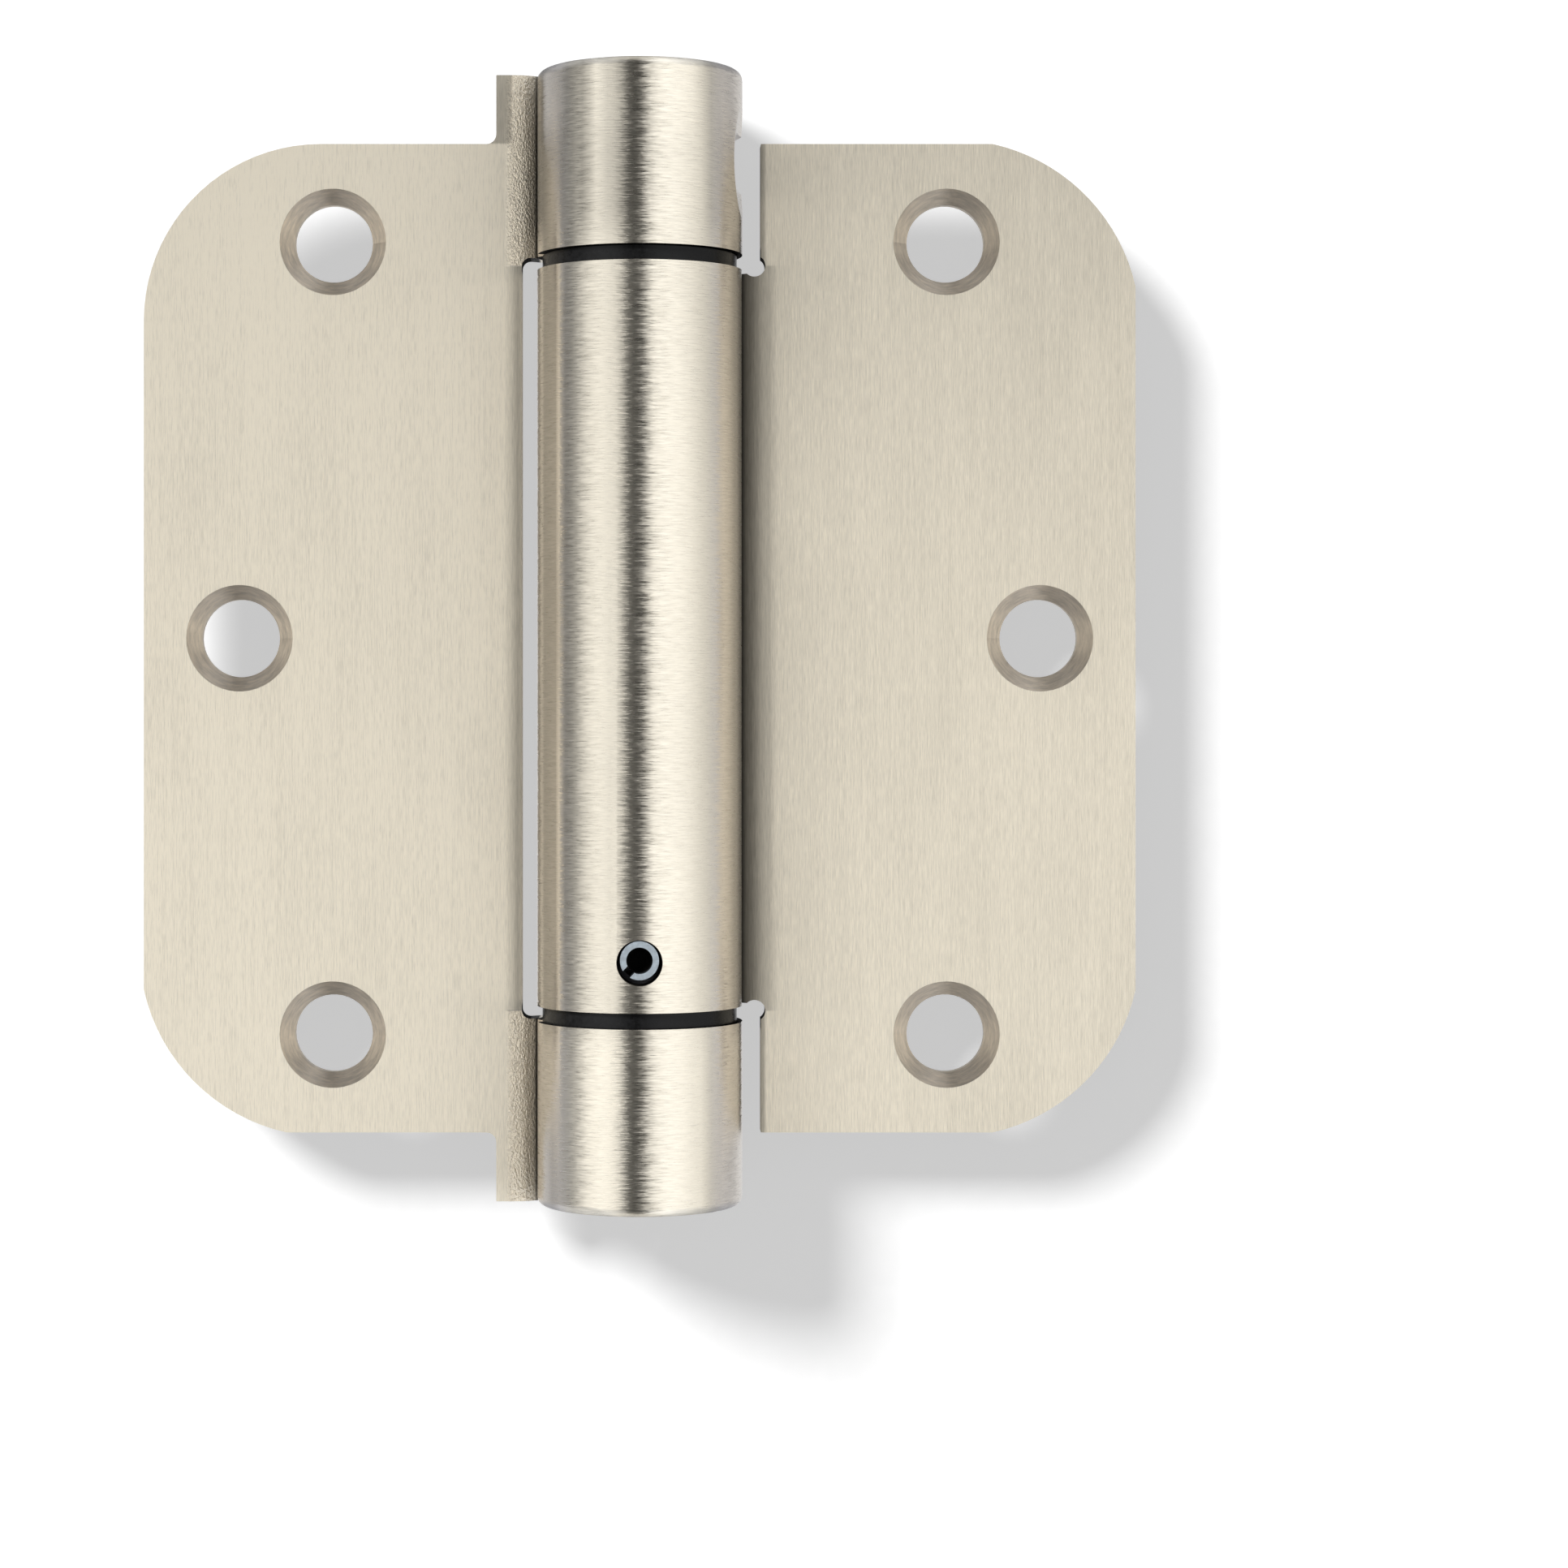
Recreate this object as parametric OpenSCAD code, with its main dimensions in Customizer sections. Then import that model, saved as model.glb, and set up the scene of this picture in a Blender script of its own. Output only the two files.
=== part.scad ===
// Spring loaded door hinge with two leaves that are cut and rolled from steel sheet.
// A torsion spring in the barrel turns the door leaf against the frame leaf, and the
// adjuster in the top knuckle winds it up.
// The barrel stands along Z with the origin on its axis at mid height. The leaves lie
// flat open along X, and their countersunk faces look towards -Y.

/* [Leaves] */
// Height of both leaves
leaf_h = 88.9; // [84:0.1:96]
// Distance from the barrel's axis to a leaf's outer edge
leaf_reach = 44.6; // [42:0.1:60]
// Thickness of the steel sheet
sheet_t = 2.5; // [2:0.1:2.8]
// Distance from the barrel's axis back to the front face of a flat leaf
leaf_set = 1.2; // [0.8:0.1:1.8]
// Radius of the frame leaf's upper corner, which meets both edges smoothly
corner_r = 15.9; // [8:0.1:17]
// Radius of the punch that cut the other outer corners
punch_r = 16.9; // [8:0.1:18]
// Overstep of that punch past the sheared edges, which leaves a faint kink
punch_lap = 0.4; // [0.1:0.1:1]

/* [Screw holes] */
// Diameter of a screw hole
screw_hole_d = 7; // [4:0.1:8]
// Diameter of a countersink at the front face
countersink_d = 9.6; // [8.5:0.1:11]
// Full angle of a countersink
countersink_angle = 82; // [80:1:100]
// Distance from a leaf's outer edge to its upper and lower hole
end_hole_inset = 17; // [12:0.1:20]
// Distance from a leaf's upper or lower end to the hole that is nearest to it
end_hole_rise = 8.8; // [7.5:0.1:14]
// Distance from a leaf's outer edge to its middle hole
middle_hole_inset = 8.6; // [7:0.1:14]

/* [Barrel] */
// Outer diameter of the knuckles
barrel_d = 18.4; // [17.6:0.1:19.6]
// Height by which the barrel stands out past each end of the leaves
barrel_rise = 6.2; // [4:0.1:8]
// Height of each of the frame leaf's two knuckles
end_knuckle_h = 16.4; // [15:0.1:20]
// Gap between two knuckles, which a bearing's flange fills
knuckle_gap = 1.4; // [1.2:0.1:2]
// Gap of the seam between a knuckle's rolled end and its leaf
seam_gap = 0.4; // [0.2:0.1:1]
// Radius on the outer rims of the barrel
rim_r = 0.8; // [0.3:0.1:1.2]

/* [Bends] */
// Distance from the barrel's side out to where a leaf starts to bend
bend_clear = 2.1; // [1.8:0.1:3]
// Radius on the inside of the bend
bend_in_r = 0.5; // [0.3:0.1:1]
// Width of flat sheet beside the bend above and below the frame leaf
tab_flat = 1.6; // [0.8:0.1:3]
// Fillet between that flat strip and the leaf's edge
tab_fillet_r = 0.9; // [0.3:0.1:1.5]
// Gap between the frame leaf's inner edge and the barrel
frame_edge_clear = 1.4; // [1:0.1:1.8]
// Radius in the corners of the frame leaf's cut-out
notch_r = 0.8; // [0.4:0.1:1]
// Gap between the door leaf's inner edge and the barrel
door_edge_clear = 1.7; // [1.2:0.1:1.8]
// Radius of the relief at the door leaf's inner corners
relief_r = 0.95; // [0.6:0.05:1.2]
// Distance of the relief's centre from the leaf's inner edge
relief_inset = 0.55; // [0.3:0.05:0.7]
// Distance of the relief's centre from the knuckle's edge
relief_rise = 0.65; // [0.5:0.05:0.8]

/* [Tension window] */
// Height of the window in the top knuckle
window_h = 5.2; // [4:0.1:6]
// Angle from the barrel's side forward to the window's front end
window_front_angle = 24; // [20:1:30]
// Angle from the barrel's side back to the window's rear end
window_back_angle = 66; // [55:1:72]
// Distance from the middle of a round end over which the sheet is drawn in
window_draw = 5; // [3:0.1:5.5]
// Depth of the shallow dish that this leaves around each round end
window_draw_depth = 0.55; // [0.2:0.05:0.6]

/* [Bearings] */
// Distance from the barrel's side in to a bearing's flange
flange_inset = 0.5; // [0.3:0.1:1]
// Clearance between a flange and the knuckle that turns on it
flange_clear = 0.1; // [0.05:0.01:0.2]
// Depth of a bearing's sleeve in its knuckle
sleeve_h = 6; // [4:0.1:7]
// Wall of a bearing's sleeve
sleeve_wall = 1.63; // [1.2:0.01:2]
// Radial clearance of a turning fit
running_clear = 0.05; // [0.02:0.01:0.08]
// Radial clearance of a tight seat
seat_clear = 0.02; // [0.01:0.01:0.03]

/* [Adjuster and spindle] */
// Depth of the adjuster's top below the rim
adjuster_recess = 0.6; // [0.3:0.1:1.5]
// Distance across the flats of the hexagon socket
socket_af = 5; // [4:0.1:5.5]
// Depth of the hexagon socket
socket_depth = 4.8; // [3:0.1:5]
// Diameter of the tension pin
tension_pin_d = 2.9; // [2.4:0.1:3]
// Depth of a pin hole in the adjuster
pin_hole_depth = 3.2; // [2.5:0.1:3.4]
// Depth of the tension pin's end below the barrel's surface
pin_recess = 0.3; // [0.1:0.1:0.6]
// Height of the spindle's pinned plug
plug_h = 8.3; // [8:0.1:9]
// Distance from the knuckle's lower end up to that plug
plug_rise = 0.25; // [0.2:0.05:0.5]
// Length of the spindle's journal below the plug
spindle_journal_h = 10.4; // [9:0.1:11]
// Chamfer on the ends of the turned pieces
chamfer = 0.5; // [0.2:0.1:0.7]
// Clearance between the journal's end and the disc that closes the bottom knuckle
spindle_end_clear = 2.25; // [1:0.05:4]
// Depth of that disc's face below the rim
bottom_recess = 0.4; // [0.2:0.1:1]

/* [Roll pin] */
// Outer diameter of the roll pin
roll_pin_d = 3.4; // [3:0.1:3.6]
// Wall of the roll pin
roll_pin_wall = 0.56; // [0.4:0.02:0.7]
// Width of the roll pin's slot
roll_pin_slot = 0.85; // [0.4:0.05:1]
// Angle of the slot, from the right round to the lower left
roll_pin_slot_angle = 226; // [200:1:250]
// Depth of the roll pin's ends below the barrel's surface
roll_pin_recess = 0.25; // [0.1:0.05:0.5]
// Diameter of the pin's holes in the knuckle
roll_hole_d = 4; // [3.8:0.1:4.4]
// Distance from the knuckle's lower end up to those holes
roll_hole_rise = 4.4; // [4:0.1:5]
// Distance that the pin sits above the middle of its holes
roll_pin_lift = 0.2; // [0.05:0.05:0.25]

/* [Torsion spring] */
// Diameter of the spring's wire
wire_d = 2; // [1.6:0.1:2.1]
// Usual gap between two turns, which their whole number may change a little
turn_gap = 0.1; // [0.05:0.05:0.4]
// Distance from the centre knuckle's ends in to the middle of the spring's cross legs
spring_inset = 11.85; // [11.5:0.05:20]
// Room around the spring in the knuckle
spring_room = 0.45; // [0.3:0.05:0.6]
// Radius of the bend from the last turn into the cross leg
leg_bend_r = 1.5; // [1.3:0.1:1.6]
// Clearance of the spring's leg and its turns on their seats
spring_clear = 0.2; // [0.1:0.05:0.3]
// Length of the seats inside the spring's ends
spring_seat_h = 6; // [4:0.1:8]

/* [Hidden] */

$fn = 96;
// Overrun of cuts past the faces that they open
over = 1;
// Step between two faces that would otherwise only touch
hair = 0.01;

leaf_color = [0.80, 0.76, 0.70];
bearing_color = [0.05, 0.05, 0.05];
turned_color = [0.62, 0.62, 0.64];
zinc_color = [0.58, 0.62, 0.68];
spring_color = [0.30, 0.31, 0.33];

// Barrel
barrel_r = barrel_d / 2;
bore_r = barrel_r - sheet_t;
barrel_top = leaf_h / 2 + barrel_rise;
end_low = barrel_top - end_knuckle_h;
centre_top = end_low - knuckle_gap;

// Bend: the sheet turns back by this angle, so that its front face becomes the bore
bend_out_r = bend_in_r + sheet_t;
bend_reach = barrel_r + bend_clear;
bend_depth = leaf_set + bend_out_r;
bend_turn = asin((bore_r + bend_out_r) / norm([bend_reach, bend_depth]))
    - atan2(bend_depth, bend_reach);
// Straight run between the bend and the barrel
run_length = bend_reach * cos(bend_turn) - bend_depth * sin(bend_turn);
// A point on that run, by its distance along it from the barrel and its depth
function on_run(along, depth) = [along * cos(bend_turn) - depth * sin(bend_turn),
    along * sin(bend_turn) + depth * cos(bend_turn)];
// How far the run reaches into the ring, and how early outline and ring leave each other
run_lap = sheet_t / 2;
stitch = seam_gap / 2;
// Places on the barrel where the straight run joins it and where the rolled end stops
join_angle = 90 + bend_turn;
seam_angle = 180 + bend_turn - asin((bore_r - seam_gap) / barrel_r);
gap_angle = (join_angle + seam_angle) / 2;
// Angle by which the rim's rounding starts in the seam, and stops before the straight run
rim_margin = 2;

// Plan
tab_reach = bend_reach + tab_flat;
frame_edge = barrel_r + frame_edge_clear;
door_edge = barrel_r + door_edge_clear;
end_hole_z = leaf_h / 2 - end_hole_rise;
screw_r = screw_hole_d / 2;
countersink_r = countersink_d / 2;
countersink_depth = (countersink_r - screw_r) / tan(countersink_angle / 2);

// Tension window
window_z = end_low + end_knuckle_h / 2;
window_end_angle = asin(window_h / 2 / barrel_r);
window_first = window_end_angle - window_front_angle;
window_last = window_back_angle - window_end_angle;
draw_r = (pow(window_draw, 2) + pow(window_draw_depth, 2)) / (2 * window_draw_depth);

// Bearings, with the flange on top and the sleeve below
flange_h = knuckle_gap - flange_clear;
flange_r = barrel_r - flange_inset;
sleeve_r = bore_r - seat_clear;
journal_r = sleeve_r - sleeve_wall - running_clear;

// Spring
wire_r = wire_d / 2;
coil_r = bore_r - spring_room - wire_r;
coil_h = 2 * (centre_top - spring_inset);
turns = floor(coil_h / (wire_d + turn_gap) + 0.05);
leg_turn = acos(-leg_bend_r / (coil_r - leg_bend_r));
seat_r = coil_r - wire_r - spring_clear;
leg_end = seat_r - chamfer;
wire_sides = 8;
turn_steps = 12;
bend_steps = 4;

// Turned pieces
adjuster_r = bore_r - running_clear;
adjuster_top = barrel_top - adjuster_recess;
adjuster_shoulder = centre_top - sleeve_h - chamfer;
pin_hole_r = tension_pin_d / 2 + running_clear;
pin_hole_count = 6;
plug_r = bore_r - seat_clear;
plug_low = plug_rise - centre_top;
spindle_low = plug_low - spindle_journal_h;
bottom_plug_low = bottom_recess - barrel_top;
bottom_plug_h = spindle_low - spindle_end_clear - bottom_plug_low;
seat_top = coil_h / 2 - spring_seat_h;
leg_z = coil_h / 2;
roll_hole_z = roll_hole_rise - centre_top;
roll_pin_z = roll_hole_z + roll_pin_lift;

// A shape drawn in X and Z, pushed through from front to back
module through_y(depth) rotate([90, 0, 0]) linear_extrude(depth, center = true) children();

// The infill of a square inside corner at the origin, sunk into both of its sides
module fillet(r) difference() {
    translate([-over, -over]) square(r + over);
    translate([r, r]) circle(r);
}

// What a corner punch takes off a corner that points right and up
module corner_cut(reach, height, r, lap) translate([reach - r + lap, height - r + lap])
    difference() {
        square(r + over);
        circle(r);
    }

// A wedge around a point, as an outline to cut with
module wedge(r, first, last) polygon([[0, 0], r * [cos(first), sin(first)],
    r * [cos((first + last) / 2), sin((first + last) / 2)], r * [cos(last), sin(last)]]);

// The sheet's section through a knuckle, with the leaf to the left. The straight
// outline runs a little way into the ring, and the bend is rounded by its two arcs.
module rolled_section() difference() {
    union() {
        polygon([
            [-leaf_reach, leaf_set],
            [-bend_reach + bend_out_r * tan(bend_turn / 2), leaf_set],
            on_run(run_lap / 2, bore_r),
            on_run(run_lap, (bore_r + barrel_r) / 2),
            on_run(-stitch, barrel_r),
            on_run(-run_length, barrel_r),
            [-bend_reach, bend_depth],
            [-bend_reach, leaf_set + sheet_t],
            [-leaf_reach, leaf_set + sheet_t]
        ]);
        difference() {
            circle(barrel_r);
            circle(bore_r);
            polygon([[0, 0], on_run(stitch, bore_r), on_run(-run_lap, barrel_r + over),
                2 * barrel_r * [cos(gap_angle), sin(gap_angle)],
                2 * barrel_r * [cos(seam_angle), sin(seam_angle)]]);
        }
    }
    translate([-bend_reach, bend_depth]) {
        circle(bend_in_r);
        difference() {
            wedge(2 * bend_out_r, -90, bend_turn - 90);
            circle(bend_out_r);
        }
    }
}

// The frame leaf's plan: the leaf, the two strips that are rolled, and the cut-out
module frame_plan() {
    difference() {
        translate([-leaf_reach, -leaf_h / 2]) square([leaf_reach - frame_edge, leaf_h]);
        mirror([1, 0]) corner_cut(leaf_reach, leaf_h / 2, corner_r, 0);
        mirror([1, 0]) mirror([0, 1]) corner_cut(leaf_reach, leaf_h / 2, punch_r, punch_lap);
    }
    for (side = [0, 1]) mirror([0, side]) {
        translate([-tab_reach, end_low]) square([tab_reach + barrel_r + over, end_knuckle_h]);
        translate([-tab_reach, leaf_h / 2]) mirror([1, 0]) fillet(tab_fillet_r);
        translate([-frame_edge, end_low]) mirror([0, 1]) fillet(notch_r);
    }
}

// The door leaf's plan, drawn to the left as well
module door_plan() difference() {
    union() {
        translate([-leaf_reach, -leaf_h / 2]) square([leaf_reach - door_edge, leaf_h]);
        translate([-bend_reach, -centre_top]) square([bend_reach + barrel_r + over, 2 * centre_top]);
    }
    for (side = [0, 1]) mirror([0, side]) {
        mirror([1, 0]) corner_cut(leaf_reach, leaf_h / 2, punch_r, punch_lap);
        translate([relief_inset - door_edge, centre_top + relief_rise]) circle(relief_r);
    }
}

// The three countersunk screw holes of a leaf to the left
module screw_holes() {
    for (hole = [[end_hole_inset, end_hole_z], [middle_hole_inset, 0],
            [end_hole_inset, -end_hole_z]])
        translate([hole[0] - leaf_reach, leaf_set, hole[1]]) rotate([-90, 0, 0]) {
            translate([0, 0, -over]) cylinder(r = screw_r, h = sheet_t + 2 * over);
            cylinder(r1 = countersink_r, r2 = screw_r, h = countersink_depth);
        }
}

// The rounding of the barrel's upper rim, from the seam to just before the straight run
module rim_cut() rotate(seam_angle - 360 - rim_margin)
    rotate_extrude(angle = 360 - seam_angle + join_angle)
        translate([barrel_r - rim_r, barrel_top - rim_r]) difference() {
            square([rim_r + seam_gap / 2, rim_r + over]);
            circle(rim_r);
        }

// The window that the tension pin looks out of, with the sheet drawn in around its ends.
// The straight stretch is a hair lower than the ends, so that their faces cross.
module window_cut() {
    rotate(window_first) rotate_extrude(angle = window_last - window_first)
        translate([bore_r / 2, window_z - window_h / 2 + hair])
            square([barrel_r, window_h - 2 * hair]);
    for (angle = [window_first, window_last])
        rotate(angle) translate([0, 0, window_z]) rotate([0, 90, 0]) {
            cylinder(d = window_h, h = barrel_r + over);
            translate([0, 0, barrel_r - window_draw_depth + draw_r]) sphere(draw_r);
        }
}

module frame_leaf() color(leaf_color) difference() {
    intersection() {
        linear_extrude(2 * barrel_top, center = true) rolled_section();
        through_y(4 * barrel_d) frame_plan();
    }
    screw_holes();
    rim_cut();
    mirror([0, 0, 1]) rim_cut();
    window_cut();
}

module door_leaf() color(leaf_color) mirror([1, 0, 0]) difference() {
    intersection() {
        linear_extrude(leaf_h, center = true) rolled_section();
        through_y(4 * barrel_d) door_plan();
    }
    screw_holes();
    translate([0, 0, roll_hole_z]) rotate([90, 0, 0])
        cylinder(d = roll_hole_d, h = barrel_d + over, center = true);
}

// A flanged bush: its flange stands on the knuckle's end, and its sleeve sits inside
module bearing(z) color(bearing_color) translate([0, 0, z]) difference() {
    union() {
        cylinder(r = flange_r, h = flange_h);
        translate([0, 0, -sleeve_h]) cylinder(r = sleeve_r, h = sleeve_h);
    }
    translate([0, 0, -sleeve_h - over])
        cylinder(r = journal_r + running_clear, h = sleeve_h + flange_h + 2 * over);
}

module upper_bearing() bearing(centre_top);
module lower_bearing() bearing(-end_low);

// The slot across a spring seat that takes the spring's cross leg
module leg_slot(angle, low, high) rotate(angle) translate([0, 0, (low + high) / 2])
    cube([2 * seat_r + over, wire_d + 2 * spring_clear, high - low], center = true);

module tension_adjuster() color(turned_color) difference() {
    rotate_extrude() polygon([
        [0, seat_top], [seat_r - chamfer, seat_top], [seat_r, seat_top + chamfer],
        [seat_r, adjuster_shoulder], [journal_r - chamfer, adjuster_shoulder],
        [journal_r, adjuster_shoulder + chamfer], [journal_r, end_low],
        [adjuster_r, end_low], [adjuster_r, adjuster_top - chamfer],
        [adjuster_r - chamfer, adjuster_top], [0, adjuster_top]
    ]);
    translate([0, 0, adjuster_top - socket_depth])
        cylinder(d = socket_af / cos(180 / 6), h = socket_depth + over, $fn = 6);
    for (hole = [0 : pin_hole_count - 1])
        rotate(window_last + hole * 360 / pin_hole_count)
            translate([adjuster_r - pin_hole_depth, 0, window_z]) rotate([0, 90, 0])
                cylinder(r = pin_hole_r, h = pin_hole_depth + over);
    leg_slot(turns * 360 + leg_turn + 90, seat_top - over, leg_z + wire_r + spring_clear);
}

module tension_pin() color(zinc_color) rotate(window_last)
    translate([adjuster_r - pin_hole_depth + seat_clear, 0, window_z]) rotate([0, 90, 0])
        rotate_extrude() let (length = barrel_r - pin_recess - adjuster_r + pin_hole_depth)
            polygon([[0, 0], [tension_pin_d / 2, 0], [tension_pin_d / 2, length - chamfer],
                [tension_pin_d / 2 - chamfer, length], [0, length]]);

module lower_spindle() color(turned_color) difference() {
    rotate_extrude() polygon([
        [0, spindle_low], [journal_r - chamfer, spindle_low],
        [journal_r, spindle_low + chamfer], [journal_r, plug_low],
        [plug_r, plug_low], [plug_r, plug_low + plug_h - chamfer],
        [plug_r - chamfer, plug_low + plug_h], [seat_r, plug_low + plug_h],
        [seat_r, -seat_top - chamfer], [seat_r - chamfer, -seat_top], [0, -seat_top]
    ]);
    translate([0, 0, roll_pin_z]) rotate([90, 0, 0])
        cylinder(r = roll_pin_d / 2 + seat_clear, h = barrel_d, center = true);
    leg_slot(-leg_turn - 90, -leg_z - wire_r - spring_clear, over - seat_top);
}

module roll_pin() color(zinc_color) through_y(barrel_d - 2 * roll_pin_recess)
    translate([0, roll_pin_z]) difference() {
        circle(d = roll_pin_d);
        circle(d = roll_pin_d - 2 * roll_pin_wall);
        rotate(roll_pin_slot_angle) translate([0, -roll_pin_slot / 2])
            square([roll_pin_d, roll_pin_slot]);
    }

// The wire's middle line: cross leg, bend, turns, bend, cross leg
function bend_point(turn, way) = [coil_r - leg_bend_r + leg_bend_r * cos(turn),
    way * leg_bend_r * sin(turn)];
function leg_point(way) = leg_end * [-sin(leg_turn), way * cos(leg_turn)];
function turned(p, angle, z) = [p[0] * cos(angle) - p[1] * sin(angle),
    p[0] * sin(angle) + p[1] * cos(angle), z];
wire_path = concat(
    [turned(leg_point(-1), 0, -leg_z)],
    [for (i = [bend_steps : -1 : 1]) turned(bend_point(leg_turn * i / bend_steps, -1), 0, -leg_z)],
    [for (i = [0 : turns * turn_steps])
        turned([coil_r, 0], 360 * i / turn_steps, coil_h * (i / (turns * turn_steps) - 1 / 2))],
    [for (i = [1 : bend_steps])
        turned(bend_point(leg_turn * i / bend_steps, 1), turns * 360, leg_z)],
    [turned(leg_point(1), turns * 360, leg_z)]
);

// A ring of the wire's surface around one point of its middle line
function wire_ring(i) = let (
    last = len(wire_path) - 1,
    along = wire_path[min(i + 1, last)] - wire_path[max(i - 1, 0)],
    way = along / norm(along),
    side = cross([0, 0, 1], way) / norm(cross([0, 0, 1], way)),
    up = cross(way, side)
) [for (k = [0 : wire_sides - 1])
    wire_path[i] + wire_r * (cos(360 * k / wire_sides) * side + sin(360 * k / wire_sides) * up)];

module torsion_spring() color(spring_color) polyhedron(
    points = [for (i = [0 : len(wire_path) - 1]) each wire_ring(i)],
    faces = [
        [for (k = [0 : wire_sides - 1]) k],
        for (i = [0 : len(wire_path) - 2]) for (k = [0 : wire_sides - 1])
            [i * wire_sides + k, (i + 1) * wire_sides + k,
                (i + 1) * wire_sides + (k + 1) % wire_sides, i * wire_sides + (k + 1) % wire_sides],
        [for (k = [wire_sides - 1 : -1 : 0]) (len(wire_path) - 1) * wire_sides + k]
    ]);

module bottom_plug() color(turned_color) translate([0, 0, bottom_plug_low])
    rotate_extrude() polygon([[0, 0], [plug_r - chamfer, 0], [plug_r, chamfer],
        [plug_r, bottom_plug_h - chamfer], [plug_r - chamfer, bottom_plug_h], [0, bottom_plug_h]]);

frame_leaf();
door_leaf();
upper_bearing();
lower_bearing();
tension_adjuster();
tension_pin();
lower_spindle();
roll_pin();
torsion_spring();
bottom_plug();
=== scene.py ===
"""Looks of the spring loaded door hinge: materials, camera, lights and backdrop.

The frame is in metres. The barrel stands along Z with the origin on its axis at mid
height, and the camera looks along +Y at the countersunk faces of the open leaves.
Inside the hinge's materials, places are in millimetres.
"""

import math
from types import SimpleNamespace

import bpy
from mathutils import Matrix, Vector


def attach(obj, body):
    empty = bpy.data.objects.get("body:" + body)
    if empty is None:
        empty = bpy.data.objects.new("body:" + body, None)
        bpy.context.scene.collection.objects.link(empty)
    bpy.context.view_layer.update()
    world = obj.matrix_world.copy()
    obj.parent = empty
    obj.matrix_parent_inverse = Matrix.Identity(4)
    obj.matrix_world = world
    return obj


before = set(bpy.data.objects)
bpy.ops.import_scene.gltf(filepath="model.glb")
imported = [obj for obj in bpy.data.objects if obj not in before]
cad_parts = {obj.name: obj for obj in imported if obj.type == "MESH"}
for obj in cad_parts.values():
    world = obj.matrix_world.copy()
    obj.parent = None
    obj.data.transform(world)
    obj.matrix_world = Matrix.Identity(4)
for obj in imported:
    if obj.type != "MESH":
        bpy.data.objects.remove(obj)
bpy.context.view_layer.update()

MM = 0.001

# Sizes and places of the hinge in millimetres, which the materials follow
BARREL_R = 9.2
SHEET_FRONT = 1.2
SHEET_BACK = 3.7
LEAF_TOP = 44.45
# Height above and below the middle at which the knuckles meet
KNUCKLE_SPLIT = 33.5
# Distance from the barrel's axis to which the bends beside the end knuckles reach
BEND_REACH = 11.5
# Where the gaps beside the knuckles end, as distances from the middle: across, up
GAP_END = (10.4, 34.1)
# The screw holes of both leaves, as distances from the middle: across, up
HOLES = ((27.6, 35.65), (36.0, 0.0))
SINK_R = 4.8
# The roll pin's hole in the barrel, and the pin, which sits a little high in it
PIN_Z = -28.45
PIN_HOLE_R = 2.0
PIN_LIFT = 0.2
PIN_BORE_R = 1.14

# Tints of the nickel: on the plate, the barrel's flanks, the countersinks and the bends
PLATE_TINT = (0.86, 0.795, 0.66)
FLANK_TINT = (0.84, 0.785, 0.72)
SINK_TINT = (0.90, 0.79, 0.635)
BEND_TINT = (0.88, 0.785, 0.62)
# The most by which the shades below may brighten a tint without changing its colour
MOST_TONE = 1.12
# Tone of the places painted black, most of them as painted shade
DARK_TONE = 0.015
# Roughness of the same four surfaces, and of the black places
PLATE_ROUGHNESS = 0.50
BARREL_ROUGHNESS = 0.30
SINK_ROUGHNESS = 0.58
BEND_ROUGHNESS = 0.36
DARK_ROUGHNESS = 0.90

# Painted shade where each plate meets its knuckle, with a painted highlight on the left bend's
# ridge, as stops of distance from the barrel's axis and brightness
CREVICE_SHADE_LEFT = [
    (9.3, 0.04), (9.45, 0.16), (9.65, 0.60), (9.95, 0.80), (10.2, 0.80), (10.5, 1.10),
    (10.8, 1.18), (11.1, 1.18), (11.4, 1.12), (11.8, 0.95), (12.2, 0.95), (12.6, 1.0),
]
CREVICE_SHADE_RIGHT = [
    (9.3, 0.03), (9.5, 0.12), (9.72, 0.28), (10.0, 0.42), (10.3, 0.50), (10.9, 0.62),
    (11.7, 0.70), (12.1, 0.86), (12.5, 0.97), (14.0, 1.0),
]
# Painted shade along the leaves' inner edges, as stops of distance across and brightness
INNER_SHADE_LEFT = [(10.7, 0.60), (11.0, 0.54), (11.3, 0.68), (11.6, 0.80), (12.2, 1.0)]
INNER_SHADE_RIGHT = [(10.8, 0.50), (11.15, 0.60), (11.4, 1.0)]
# Painted reflections and shade on the barrel: darker towards the seam and the bends, with
# lighter and darker bands between. The stops are places from left to right and brightness,
# at four heights
BARREL_SHADE_LOW = [
    (-9.2, 0.82), (-8.6, 0.80), (-7.7, 0.78), (-6.9, 1.22), (-6.2, 1.10), (-5.4, 1.02),
    (-4.6, 1.00), (-3.8, 0.98), (-2.8, 1.02), (-1.8, 1.10), (-0.8, 1.0), (0.4, 0.90),
    (4.6, 0.92), (5.4, 0.96), (6.3, 0.80), (7.4, 0.88), (8.4, 0.80), (9.2, 0.75),
]
BARREL_SHADE_MIDDLE = [
    (-9.2, 1.30), (-8.8, 1.15), (-8.45, 0.52), (-7.4, 0.55), (-7.1, 1.0), (-6.8, 1.05),
    (-6.5, 0.84), (-5.6, 0.88), (-5.0, 0.88), (-4.2, 0.88), (-2.6, 0.86), (-1.6, 0.96),
    (-0.6, 1.0), (0.2, 0.80), (1.2, 0.94), (2.2, 0.88), (4.4, 0.88), (5.4, 0.84),
    (6.3, 0.81), (7.4, 0.85), (7.9, 0.76), (8.4, 0.54), (9.2, 0.48),
]
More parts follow.
